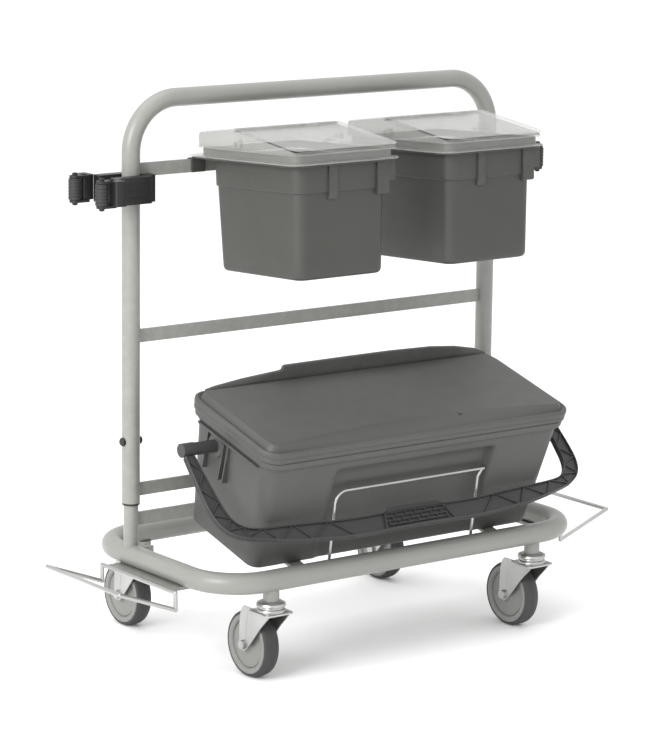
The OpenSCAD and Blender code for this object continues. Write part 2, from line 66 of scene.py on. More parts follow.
def add_camera():
    """A long lens from the front left, looking slightly down, at the whole cart."""
    yaw, pitch, roll = (math.radians(a) for a in (CAMERA_YAW, CAMERA_PITCH, CAMERA_ROLL))
    forward = Vector((math.sin(yaw) * math.cos(pitch), math.cos(yaw) * math.cos(pitch),
                      -math.sin(pitch)))
    flat_right = Vector((math.cos(yaw), -math.sin(yaw), 0.0))
    flat_up = flat_right.cross(forward)
    right = flat_right * math.cos(roll) + flat_up * math.sin(roll)
    up = flat_up * math.cos(roll) - flat_right * math.sin(roll)
    data = bpy.data.cameras.new("camera")
    data.lens = CAMERA_LENS
    data.sensor_width = SENSOR_WIDTH
    data.clip_end = 200.0
    camera = bpy.data.objects.new("camera", data)
    place = Matrix((right, up, -forward)).transposed().to_4x4()
    place.translation = Vector(CAMERA_PLACE)
    camera.matrix_world = place
    bpy.context.collection.objects.link(camera)
    bpy.context.scene.camera = camera


def add_area_light(name, place, target, size, power):
    data = bpy.data.lights.new(name, "AREA")
    data.shape = "RECTANGLE"
    data.size, data.size_y = size
    data.energy = power
    light = bpy.data.objects.new(name, data)
    light.location = place
    light.rotation_euler = (Vector(target) - Vector(place)).to_track_quat("-Z", "Y").to_euler()
    bpy.context.collection.objects.link(light)


def add_studio():
    """White surroundings, a large soft key from the left, a weaker front fill and a top light."""
    scene = bpy.context.scene
    scene.view_settings.view_transform = "Standard"
    world = bpy.data.worlds.new("studio")
    world.use_nodes = True
    background = world.node_tree.nodes["Background"]
    background.inputs["Color"].default_value = (1.0, 1.0, 1.0, 1.0)
    background.inputs["Strength"].default_value = WORLD_STRENGTH
    scene.world = world
    for light in LIGHTS:
        add_area_light(*light)
    mesh = bpy.data.meshes.new("floor")
    half = FLOOR_HALF
    corners = [(-half, -half, 0), (half, -half, 0), (half, half, 0), (-half, half, 0)]
    mesh.from_pydata(corners, [], [(0, 1, 2, 3)])
    floor = bpy.data.objects.new("floor", mesh)
    bpy.context.collection.objects.link(floor)
    material = bpy.data.materials.new("floor_paper")
    material.use_nodes = True
    shader = material.node_tree.nodes["Principled BSDF"]
    shader.inputs["Base Color"].default_value = (1.0, 1.0, 1.0, 1.0)
    shader.inputs["Roughness"].default_value = 0.9
    shader.inputs["Specular IOR Level"].default_value = 0.1
    mesh.materials.append(material)


# ---------- materials ----------

def node_material(name, base, rough, metallic=0.0, grain=900.0, bump=0.15, mottling=0.06, wear=0.0,
                  wear_colour=(0.7, 0.7, 0.7), coat=0.0, stretch=(1.0, 1.0, 1.0), specular=0.5):
    """A procedural finish: mottled colour, uneven roughness, fine surface grain and worn edges."""
    material = bpy.data.materials.new(name)
    material.use_nodes = True
    tree = material.node_tree
    shader = tree.nodes["Principled BSDF"]
    shader.inputs["Metallic"].default_value = metallic
    shader.inputs["Coat Weight"].default_value = coat
    shader.inputs["Coat Roughness"].default_value = 0.25
    shader.inputs["Specular IOR Level"].default_value = specular
    place = tree.nodes.new("ShaderNodeTexCoord")
    mapping = tree.nodes.new("ShaderNodeMapping")
    mapping.inputs["Scale"].default_value = stretch
    tree.links.new(place.outputs["Object"], mapping.inputs["Vector"])

    def noise(scale, detail):
        texture = tree.nodes.new("ShaderNodeTexNoise")
        texture.inputs["Scale"].default_value = scale
        texture.inputs["Detail"].default_value = detail
        tree.links.new(mapping.outputs["Vector"], texture.inputs["Vector"])
        return texture

    def ramp(source, low, high, low_at=0.3, high_at=0.7):
        node = tree.nodes.new("ShaderNodeValToRGB")
        node.color_ramp.elements[0].position = low_at
        node.color_ramp.elements[1].position = high_at
        node.color_ramp.elements[0].color = (*low, 1.0)
        node.color_ramp.elements[1].color = (*high, 1.0)
        tree.links.new(source, node.inputs["Fac"])
        return node

    patches = noise(9.0, 5.0)
    dark = [c * (1 - mottling) for c in base]
    light = [min(1.0, c * (1 + mottling)) for c in base]
    colour = ramp(patches.outputs["Fac"], dark, light)
    surface = colour.outputs["Color"]
    if wear > 0:
        geometry = tree.nodes.new("ShaderNodeNewGeometry")
        scuffs = noise(60.0, 6.0)
        edge = ramp(geometry.outputs["Pointiness"], (0, 0, 0), (1, 1, 1), 0.52, 0.60)
        patchy = ramp(scuffs.outputs["Fac"], (0, 0, 0), (1, 1, 1), 0.45, 0.65)
        product = tree.nodes.new("ShaderNodeMath")
        product.operation = "MULTIPLY"
        tree.links.new(edge.outputs["Color"], product.inputs[0])
        tree.links.new(patchy.outputs["Color"], product.inputs[1])
        amount = tree.nodes.new("ShaderNodeMath")
        amount.operation = "MULTIPLY"
        amount.inputs[1].default_value = wear
        tree.links.new(product.outputs[0], amount.inputs[0])
        mix = tree.nodes.new("ShaderNodeMix")
        mix.data_type = "RGBA"
        tree.links.new(amount.outputs[0], mix.inputs["Factor"])
        tree.links.new(surface, mix.inputs["A"])
        mix.inputs["B"].default_value = (*wear_colour, 1.0)
        surface = mix.outputs["Result"]
    tree.links.new(surface, shader.inputs["Base Color"])
    smears = noise(30.0, 4.0)
    gloss = tree.nodes.new("ShaderNodeMapRange")
    gloss.inputs["To Min"].default_value = max(0.02, rough - 0.08)
    gloss.inputs["To Max"].default_value = min(1.0, rough + 0.08)
    tree.links.new(smears.outputs["Fac"], gloss.inputs["Value"])
    tree.links.new(gloss.outputs["Result"], shader.inputs["Roughness"])
    fine = noise(grain, 3.0)
    relief = tree.nodes.new("ShaderNodeBump")
    relief.inputs["Strength"].default_value = bump
    relief.inputs["Distance"].default_value = 0.0004
    tree.links.new(fine.outputs["Fac"], relief.inputs["Height"])
    tree.links.new(relief.outputs["Normal"], shader.inputs["Normal"])
    return material


def clear_material(name, tint, alpha, rough):
    """Clear moulded plastic: thin, slightly milky, glossy."""
    material = node_material(name, tint, rough, grain=300.0, bump=0.05, mottling=0.02, coat=0.3)
    shader = material.node_tree.nodes["Principled BSDF"]
    shader.inputs["Alpha"].default_value = alpha
    return material


MATERIALS = {"frame_paint": node_material("frame_paint", (0.245, 0.245, 0.228), 0.34, grain=1400.0,
                                          bump=0.12, mottling=0.03, wear=0.25,
                                          wear_colour=(0.36, 0.36, 0.34), coat=0.1),
             "zinc": node_material("zinc", (0.46, 0.46, 0.45), 0.30, metallic=0.9, grain=700.0,
                                   bump=0.2, mottling=0.12),
             "hub_plastic": node_material("hub_plastic", (0.21, 0.21, 0.20), 0.45, grain=1200.0,
                                          bump=0.2, mottling=0.05),
             "tyre_rubber": node_material("tyre_rubber", (0.040, 0.040, 0.040), 0.62, grain=1500.0,
                                          bump=0.35, mottling=0.15),
             "box_plastic": node_material("box_plastic", (0.068, 0.068, 0.065), 0.48, grain=1800.0,
                                          bump=0.3, mottling=0.05, wear=0.2,
                                          wear_colour=(0.12, 0.12, 0.12)),
             "bucket_plastic": node_material("bucket_plastic", (0.043, 0.043, 0.0385), 0.50,
                                             grain=1800.0, bump=0.3, mottling=0.05, wear=0.2,
                                             wear_colour=(0.12, 0.12, 0.12)),
             "bail_plastic": node_material("bail_plastic", (0.036, 0.036, 0.036), 0.48, grain=1600.0,
                                           bump=0.3, mottling=0.08),
             "clip_plastic": node_material("clip_plastic", (0.009, 0.009, 0.009), 0.45, grain=1600.0,
                                           bump=0.3, mottling=0.1),
             "roller_rubber": node_material("roller_rubber", (0.024, 0.024, 0.025), 0.60, grain=1600.0,
                                            bump=0.3, mottling=0.1),
             "clear_lid": clear_material("clear_lid", (0.44, 0.44, 0.42), 0.38, 0.16), }




# ---------- places taken from the frame ----------

# bail pivot in the box's own axes, and flap hinge in a bucket's own axes
PIVOT_DEPTH, PIVOT_HEIGHT = 0.144, 0.187
HINGE_DEPTH, HINGE_HEIGHT = 0.164, 0.263
# angle of the resting bail forward from straight down
BAIL_REST = 46.0
# segments in each rounded corner of an outline
CORNER_STEPS = 8


def joint(name):
    """Row of the record's joint with this name."""
    return next(j for j in frame["record"]["behaviour"]["joints"] if j["name"] == name)


def box_place():
    """Local axes of the large box: X along it, Y across its floor, Z square to its floor."""
    axis = joint("box_lift")["axis"]
    tilt = math.atan2(-axis[1], axis[2])
    pivot = Vector(joint("bail_swing")["pos_m"])
    turn = Matrix.Rotation(tilt, 4, "X")
    return Matrix.Translation(pivot - turn @ Vector((0.0, PIVOT_DEPTH, PIVOT_HEIGHT))) @ turn


def bail_place():
    """Local axes of the bail: Z runs from the pivots to the grip, Y is square to the band."""
    pivot = Vector(joint("bail_swing")["pos_m"])
    return Matrix.Translation(pivot) @ Matrix.Rotation(math.radians(-BAIL_REST), 4,
                                                       "X") @ Matrix.Rotation(math.pi, 4, "X")


def bucket_place(side):
    """Local axes of a small bucket: origin at the foot of its front wall."""
    axis = joint(side + "_lid_lift")["axis"]
    tilt = math.atan2(axis[1], axis[2])
    hinge = Vector(joint(side + "_flap_hinge")["pos_m"])
    turn = Matrix.Rotation(-tilt, 4, "X")
    return Matrix.Translation(hinge - turn @ Vector((0.0, HINGE_DEPTH, HINGE_HEIGHT))) @ turn


# ---------- mesh helpers ----------

def new_piece(name, bm, body, slot, replaced=(), place=None, bevel=0.0, sharp=32.0, steps=2):
    """Turns a bmesh into a named piece that rides on a body and stands for CAD nodes."""
    bmesh.ops.recalc_face_normals(bm, faces=bm.faces)
    mesh = bpy.data.meshes.new(name)
    bm.to_mesh(mesh)
    bm.free()
    if place is not None:
        mesh.transform(place)
    mesh.shade_smooth()
    mesh.set_sharp_from_angle(angle=math.radians(sharp))
    piece = bpy.data.objects.new(name, mesh)
    bpy.context.collection.objects.link(piece)
    mesh.materials.append(MATERIALS[slot])
    if bevel > 0:
        rounding = piece.modifiers.new("rounding", "BEVEL")
        rounding.width = bevel
        rounding.segments = steps
        rounding.limit_method = "ANGLE"
        rounding.angle_limit = math.radians(sharp)
        rounding.harden_normals = True
    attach(piece, body)
    if replaced:
        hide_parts(*replaced)
    return piece


def add_ring(bm, points):
    """Adds the points as vertices."""
    return [bm.verts.new(p) for p in points]


def bridge(bm, a, b):
    """Skins the band between two closed rings of vertices."""
    count = len(a)
    for i in range(count):
        bm.faces.new((a[i], a[(i + 1) % count], b[(i + 1) % count], b[i]))


def loft(bm, rings, cap_first=True, cap_last=True, join_ends=False):
    """Skins closed rings of equal length in order."""
    made = [add_ring(bm, r) for r in rings]
    for a, b in zip(made, made[1:]):
        bridge(bm, a, b)
    if join_ends:
        bridge(bm, made[-1], made[0])
        return made
    if cap_first:
        bm.faces.new(made[0][::-1])
    if cap_last:
        bm.faces.new(made[-1])
    return made


def round_outline(x0, x1, y0, y1, r, steps=CORNER_STEPS):
    """Corner points of a rounded rectangle, anticlockwise from the front right corner."""
    points = []
    for cx, cy, start in ((x1 - r, y0 + r, -90), (x1 - r, y1 - r, 0), (x0 + r, y1 - r, 90),
                          (x0 + r, y0 + r, 180)):
        for k in range(steps + 1):
            a = math.radians(start + 90.0 * k / steps)
            points.append((cx + r * math.cos(a), cy + r * math.sin(a)))
    return points


def level(points, z):
    """Lifts a flat outline to height z."""
    return [(x, y, z) for x, y in points]


def add_box(bm, low, high):
    """Box between two opposite corners."""
    spans = list(zip(low, high))
    corners = [bm.verts.new((x, y, z)) for x in spans[0] for y in spans[1] for z in spans[2]]
    for face in ((0, 1, 3, 2), (4, 6, 7, 5), (0, 4, 5, 1), (2, 3, 7, 6), (0, 2, 6, 4), (1, 5, 7, 3)):
        bm.faces.new([corners[i] for i in face])
    return corners


def add_prism(bm, outline, low, high, axis="y"):
    """Closed solid from an outline swept between two values of one axis."""
    loft(bm, [[(t, *p) if axis == "x" else (p[0], t, p[1]) for p in outline] for t in (low, high)])


def add_tube(bm, start, end, radius, sides=32, bore=0.0):
    """Round bar, or a ring when it has a bore."""
    start, end = Vector(start), Vector(end)
    along = (end - start).normalized()
    side = along.orthogonal().normalized()
    other = along.cross(side)

    def circle(centre, r):
        return [centre + side * (r * math.cos(t)) + other * (r * math.sin(t))
                for t in (2 * math.pi * k / sides for k in range(sides))]

    if bore > 0:
        loft(bm, [circle(start, radius), circle(end, radius), circle(end, bore), circle(start, bore)],
             join_ends=True)
    else:
        loft(bm, [circle(start, radius), circle(end, radius)])


def add_lathe(bm, profile, origin, axis, sides=96, closed=False):
    """Turns a profile of (radius, distance along the axis) about the axis."""
    along = Vector(axis).normalized()
    side = along.orthogonal().normalized()
    other = along.cross(side)
    rings = [[Vector(origin) + along * h + (side * math.cos(t) + other * math.sin(t)) * max(r, 1e-5)
              for t in (2 * math.pi * k / sides for k in range(sides))] for r, h in profile]
    loft(bm, rings, join_ends=closed)


def smooth_step(t):
    """Eases from 0 to 1, flat at both ends."""
    t = min(1.0, max(0.0, t))
    return t * t * (3 - 2 * t)


def catmull(points, samples):
    """Smooth curve through points, open, with a number of samples for each span."""
    def blend(t, p, q, r, s):
        return 0.5 * (2 * q + (r - p) * t + (2 * p - 5 * q + 4 * r - s) * t * t
                      + (3 * q - p - 3 * r + s) * t ** 3)

    padded = [points[0]] + list(points) + [points[-1]]
    curve = []
    for a, b, c, d in zip(padded, padded[1:], padded[2:], padded[3:]):
        for k in range(samples):
            t = k / samples
            curve.append(tuple(blend(t, *values) for values in zip(a, b, c, d)))
    curve.append(tuple(points[-1]))
    return curve


# ---------- large box ----------

BOX_DEPTH = 0.212
BOX_HEIGHT = 0.240
BOX_WALL = 0.004
# points along the front wall, close together at the edges of the recess
RIGHT_STATIONS = [0.06, 0.12, 0.174, 0.178, 0.181, 0.184, 0.187, 0.190, 0.200, 0.26]
RECESS_STATIONS = [-x for x in RIGHT_STATIONS[::-1]] + [0.0] + RIGHT_STATIONS


def box_outline(w, inset=0.0):
    """Outline of the box wall at height w above its floor, with the front recess."""
    share = w / BOX_HEIGHT
    half = 0.328 + 0.017 * share - inset
    front = -0.021 * share + inset
    rear = BOX_DEPTH + 0.021 * share - inset
    r = 0.024 + 0.004 * share - inset * 0.8
    fade = 1.0 - smooth_step((w - 0.180) / 0.016)
    deep = (0.003 + 0.017 * min(1.0, w / 0.15)) * fade
    points = round_outline(-half, half, front, rear, r)
    for x in RECESS_STATIONS:
        cut = smooth_step((0.190 - abs(x)) / 0.014)
        points.append((x, front + deep * cut))
    return points


def make_box_tub():
    """Large tub: tapered wall with a front recess, rim flange, rounded foot and hollow inside."""
    bm = bmesh.new()
    wall = BOX_WALL
    outer = [(0.0, 0.007), (0.0008, 0.0035), (0.003, 0.0010), (0.006, 0.0)]
    outer += [(w, 0.0) for w in (0.03, 0.06, 0.09, 0.12, 0.15, 0.170, 0.180, 0.184, 0.188, 0.192,
                                 0.196, 0.200, 0.2085)]
    rim = [(0.2090, -0.0015), (0.2100, -0.0025), (0.2160, -0.0028), (0.2164, -0.0070),
           (0.2175, -0.0083), (0.2270, -0.0083), (0.2283, -0.0070), (0.2286, 0.0000), (0.2395, 0.0005),
           (0.2400, 0.0015), (0.2400, wall - 0.001), (0.2390, wall)]
    inner = [(w, wall) for w in (0.22, 0.200, 0.196, 0.192, 0.188, 0.184, 0.180, 0.15, 0.12, 0.09,
                                 0.06, 0.03, 0.010)]
    inner += [(0.006, wall + 0.003), (0.004, wall + 0.010)]
    rings = [level(box_outline(w, i), w) for w, i in outer + rim + inner]
    loft(bm, rings)
    # moulded ribs on the end walls and pads behind the pivots
    for s in (-1, 1):
        for k in (-0.036, -0.022, 0.030):
            add_prism(bm, [(PIVOT_DEPTH + k - 0.0015, 0.128), (PIVOT_DEPTH + k + 0.0015, 0.128),
                           (PIVOT_DEPTH + k + 0.0015, 0.212), (PIVOT_DEPTH + k - 0.0015, 0.212)],
                      s * 0.335, s * 0.3475, "x")
        add_lathe(bm, [(0.022, 0.0), (0.022, 0.016), (0.0205, 0.0178), (0.0, 0.0178)],
                  (s * 0.332, PIVOT_DEPTH, PIVOT_HEIGHT), (s, 0, 0), 48)
    # gutter ledge that runs under the rim past each pivot
    for s in (-1, 1):
        add_prism(bm, [(0.010, 0.2095), (0.030, 0.2060), (0.075, 0.2052), (0.200, 0.2052),
                       (0.205, 0.2095)], s * 0.339, s * 0.3515, "x")
    return new_piece("box_shell", bm, "box", "box_plastic", ["box_tub"], box_place(), sharp=40)


def lid_outline(inset, r=0.034, steps=10, across=24, along=10):
    """Outline of the box lid at an inset from its widest line, with stations along each side."""
    x0, x1, y0, y1 = -0.357 + inset, 0.357 - inset, -0.029 + inset, BOX_DEPTH + 0.029 - inset
    r = max(0.006, r - inset)
    points = []
    sides = (((x1 - r, y0 + r), -90, along), ((x1 - r, y1 - r), 0, across),
             ((x0 + r, y1 - r), 90, along), ((x0 + r, y0 + r), 180, across))
    for (cx, cy), start, count in sides:
        for k in range(steps + 1):
            a = math.radians(start + 90.0 * k / steps)
            points.append((cx + r * math.cos(a), cy + r * math.sin(a)))
        a = math.radians(start + 90.0)
        here = (cx + r * math.cos(a), cy + r * math.sin(a))
        target = {-90: (x1, y1 - r), 0: (x0 + r, y1), 90: (x0, y0 + r), 180: (x1 - r, y0)}[start]
        for k in range(1, count):
            t = k / count
            points.append((here[0] + (target[0] - here[0]) * t, here[1] + (target[1] - here[1]) * t))
    return points


def lid_crown(x, y):
    """Gentle dome of the lid's top."""
    return 0.0025 * (1 - (x / 0.35) ** 2) * (1 - ((y - 0.106) / 0.135) ** 2)


def make_box_lid():
    """Large lid: skirt, rim roll, valley line, crowned top and the raised lip at the rear."""
    bm = bmesh.new()
    skirt = [(0.0035, 0.2300), (0.0020, 0.2290), (0.0012, 0.2300), (0.0010, 0.2360), (0.0016, 0.2385),
             (0.0004, 0.2400), (0.0, 0.2430), (0.0, 0.2470), (0.0006, 0.2492), (0.0022, 0.2506),
             (0.0045, 0.2510), (0.0065, 0.2504), (0.0085, 0.2488), (0.0105, 0.2478)]
    rings = [level(lid_outline(i), w) for i, w in skirt]

    def top_ring(share):
        """Rings from the valley line up the bevel to the edge of the top panel."""
        ring = []
        for (xa, ya), (xb, yb) in zip(lid_outline(0.0105), lid_outline(0.020)):
            middle = max(0.0, 1 - (xa / 0.33) ** 2)
            front = smooth_step((0.02 - ya) / 0.03)
            reach = front * middle * 0.026
            x, y = xa + (xb - xa) * share, ya + (yb - ya) * share + reach * share
            rise = 0.0118 * (1 - (1 - share) ** 1.6)
            ring.append((x, y, 0.2478 + rise + lid_crown(x, y) * share))
        return ring

    rings += [top_ring(s) for s in (0.15, 0.35, 0.6, 0.85, 0.97, 1.0)]
    edge = rings[-1]
    centre_y = 0.110
    for share in (0.97, 0.85, 0.65, 0.4, 0.2, 0.05):
        ring = []
        for x, y, _ in edge:
            px, py = x * (0.05 + 0.95 * share), centre_y + (y - centre_y) * share
            ring.append((px, py, 0.2478 + 0.0118 + lid_crown(px, py)))
        rings.append(ring)
    made = loft(bm, rings, cap_first=False)
    inner = [level(lid_outline(i), w) for i, w in ((0.0035, 0.2300), (0.0045, 0.2320),
                                                   (0.0050, 0.2440), (0.012, 0.2455), (0.06, 0.2530))]
    add = [made[0]] + [add_ring(bm, r) for r in inner[1:]]
    for a, b in zip(add, add[1:]):
        bridge(bm, a, b)
    bm.faces.new(add[-1])
    # raised rear lip with a lower tapered left end
    back = BOX_DEPTH + 0.024
    crest = [(-0.320, 0.2545), (-0.300, 0.2590), (-0.240, 0.2670), (-0.157, 0.2740), (-0.153, 0.2760),
             (-0.151, 0.2825), (-0.148, 0.2840), (0.0, 0.2850), (0.100, 0.2850), (0.200, 0.2825),
             (0.262, 0.2765), (0.315, 0.2660), (0.342, 0.2560)]
    thick = 0.0035
    rings = []
    for x, top in crest:
        rings.append([(x, back - thick * 1.6, 0.2500), (x, back - thick, top - 0.0012),
                      (x, back - thick + 0.0012, top), (x, back + thick - 0.0012, top),
                      (x, back + thick, top - 0.0012), (x, back + thick, 0.2500)])
    loft(bm, rings)
    # small moulding nub on the top
    add_lathe(bm, [(0.0035, 0.0), (0.0034, 0.0016), (0.0022, 0.0024), (0.0, 0.0026)],
              (0.104, 0.008, 0.2605), (0, -0.15, 1), 24)
    return new_piece("box_cover", bm, "box_lid", "box_plastic", ["box_lid"], box_place(), sharp=38)


# ---------- bail ----------

def bail_edges():
    """Matching points along the outer and inner edge of the right half, from the middle to the pivot."""
    outer = catmull([(0.0, 0.2335), (0.075, 0.2345), (0.150, 0.2350), (0.230, 0.2290), (0.280, 0.2240),
                     (0.350, 0.2105), (0.392, 0.1985), (0.416, 0.1800), (0.428, 0.1520),
                     (0.4300, 0.1130), (0.4270, 0.0600), (0.4240, 0.0150)], 8)
    inner = catmull([(0.0, 0.1980), (0.075, 0.1980), (0.150, 0.1980), (0.222, 0.1940), (0.280, 0.1905),
                     (0.335, 0.1880), (0.366, 0.1830), (0.386, 0.1700), (0.3965, 0.1480),
                     (0.4005, 0.1130), (0.4030, 0.0600), (0.4040, 0.0150)], 8)
    return outer, inner


def towards(a, b, reach):
    """Point at a distance from a on the way to b."""
    d = math.dist(a, b)
    return a[0] + (b[0] - a[0]) * reach / d, a[1] + (b[1] - a[1]) * reach / d


def make_bail():
    """Carry handle: thin web between two flanges, zig-zag ribs, pocketed grip and pivot cups."""
    bm = bmesh.new()
    outer, inner = bail_edges()
    half_width = 0.0060
    web = 0.0016
    flange = 0.0026

    def strip(pairs, low, high):
        """Solid between two edge curves, from y low to y high."""
        rings = [[(a[0] * s, low, a[1]), (b[0] * s, low, b[1]), (b[0] * s, high, b[1]),
                  (a[0] * s, high, a[1])] for a, b in pairs]
        loft(bm, rings)

    for s in (-1, 1):
        pairs = list(zip(outer, inner))
        strip(pairs, -web, web)
        outer_in = [towards(a, b, flange) for a, b in pairs]
        inner_in = [towards(b, a, flange) for a, b in pairs]
        strip(list(zip(outer, outer_in)), -half_width, half_width)
        strip(list(zip(inner, inner_in)), -half_width, half_width)
        # zig-zag ribs between the flanges
        marks = list(range(16, len(outer) - 2, 5))
        up = True
        for a, b in zip(marks, marks[1:]):
            p, q = (outer[a], inner[b]) if up else (inner[a], outer[b])
            up = not up
            p, q = Vector(p), Vector(q)
            n = Vector((-(q - p).y, (q - p).x)).normalized() * 0.0011
            corners = [p + n, q + n, q - n, p - n]
            add_prism(bm, [(c.x * s, c.y) for c in corners], -half_width + 0.0012, half_width - 0.0012)
        # slanted end wall of the grip
        low_x, high_x, thick = 0.0675, 0.0795, 0.003
        add_prism(bm, [(s * low_x, 0.199), (s * (low_x + thick), 0.199), (s * (high_x + thick), 0.233),
                       (s * high_x, 0.233)], -half_width, half_width)
        add_tube(bm, (s * 0.3970, 0, 0), (s * 0.4200, 0, 0), 0.0132, 40, 0.00705)
        add_tube(bm, (s * 0.4196, 0, 0), (s * 0.4240, 0, 0), 0.0132, 40)
    # brick pattern of pockets in the grip, and its rounded lower edge
    for z, count in ((0.2050, 6), (0.2135, 5), (0.2220, 6)):
        for k in range(count + 1):
            x = (k - count / 2) * 0.0225
            if abs(x) < 0.068:
                add_box(bm, (x - 0.001, -half_width + 0.0008, z - 0.0042),
                        (x + 0.001, half_width - 0.0008, z + 0.0042))
    for z in (0.2008, 0.2092, 0.2178, 0.2262):
        add_box(bm, (-0.0700, -half_width + 0.0006, z - 0.0008),
                (0.0700, half_width - 0.0006, z + 0.0008))
    rings = []
    for k in range(25):
        x = -0.074 + 0.148 * k / 24
        lift = 0.0105 * smooth_step((0.074 - abs(x)) / 0.020)
        rings.append([(x, -half_width, 0.200 - lift), (x, half_width, 0.200 - lift),
                      (x, half_width, 0.2005), (x, -half_width, 0.2005)])
    loft(bm, rings)
    return new_piece("bail_band", bm, "bail", "bail_plastic", ["box_bail"], bail_place(), bevel=0.0005,
                     sharp=40, steps=1)


# ---------- small buckets ----------

BUCKET_HEIGHT = 0.2052


def bucket_outline(z, inset=0.0):
    """Outline of the tapered bucket wall at height z."""
    share = z / BUCKET_HEIGHT
    return round_outline(-0.098 - 0.003 * share + inset, 0.098 + 0.003 * share - inset,
                         -0.009 * share + inset, 0.249 + 0.012 * share - inset,
                         0.022 + 0.002 * share - inset * 0.8)


def make_bucket_tub(side):
    """Small tub: tapered wall with rounded foot, collar, rim plate, ribs, side lug and hook tabs."""
    bm = bmesh.new()
    place = bucket_place(side)
    wall = 0.003
    rings = [level(bucket_outline(0, 0.009), 0.0), level(bucket_outline(0, 0.0052), 0.0008),
             level(bucket_outline(0, 0.0024), 0.0027), level(bucket_outline(0, 0.0007), 0.0055),
             level(bucket_outline(0.009), 0.009)]
    rings += [level(bucket_outline(z), z) for z in (0.04, 0.08, 0.12, 0.1560)]
    collar = [(0.1568, -0.0020), (0.1576, -0.0028), (0.1590, -0.0030), (0.2046, -0.0021)]
    rings += [level(bucket_outline(z, i), z) for z, i in collar]
    plate = [(0.2052, 0.1172, 0.0222), (0.2059, 0.1180, 0.0230), (0.2075, 0.1180, 0.0230),
             (0.2082, 0.1172, 0.0222)]
    rings += [level(round_outline(-x, x, -y, 0.291 + y, 0.022), z) for z, x, y in plate]
    rings += [level(bucket_outline(z, wall), z) for z in (0.2082, 0.15, 0.08, 0.014)]
    rings += [level(bucket_outline(0.0, 0.006), 0.006), level(bucket_outline(0.0, 0.014), 0.0031)]
    loft(bm, rings)
    # front rib, front panel that turns the right corner, and its side lug
    add_prism(bm, [(-0.0040, 0.1420), (-0.0098, 0.1440), (-0.0142, 0.1540), (-0.0149, 0.2054),
                   (-0.0040, 0.2054)], -0.0360, -0.0180, "x")
    add_prism(bm, [(-0.0040, 0.1450), (-0.0125, 0.1460), (-0.0149, 0.1500), (-0.0149, 0.2054),
                   (-0.0040, 0.2054)], 0.0720, 0.0980, "x")
    add_prism(bm, [(0.0940, 0.1690), (0.1090, 0.1685), (0.1122, 0.1705), (0.1130, 0.1740),
                   (0.1130, 0.2054), (0.0940, 0.2054)], -0.0144, -0.0008)
    for x in (-0.060, 0.060):
        add_prism(bm, [(0.262, 0.176), (0.265, 0.175), (0.2940, 0.2054), (0.262, 0.2054)], x - 0.0015,
                  x + 0.0015, "x")
    # hook tabs on both sides of the rail, upright in the world
    low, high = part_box(side + "_tub")
    centre_x = (low[0] + high[0]) / 2
    back = place.inverted()
    tab_half, tab_thick, tab_low, tab_high = 0.015, 0.0032, 0.9036, 0.9295
    for x in (centre_x - 0.106, centre_x + 0.106):
        for y in (0.0743, 0.0874):
            made = add_box(bm, (x - tab_half, y, tab_low), (x + tab_half, y + tab_thick, tab_high))
            for corner in made:
                corner.co = back @ corner.co
    return new_piece(side + "_bucket_shell", bm, side + "_bucket", "bucket_plastic", [side + "_tub"],
                     place, bevel=0.0007, sharp=40, steps=2)


# ---------- clear lids ----------

LID_RIDGE = 0.164


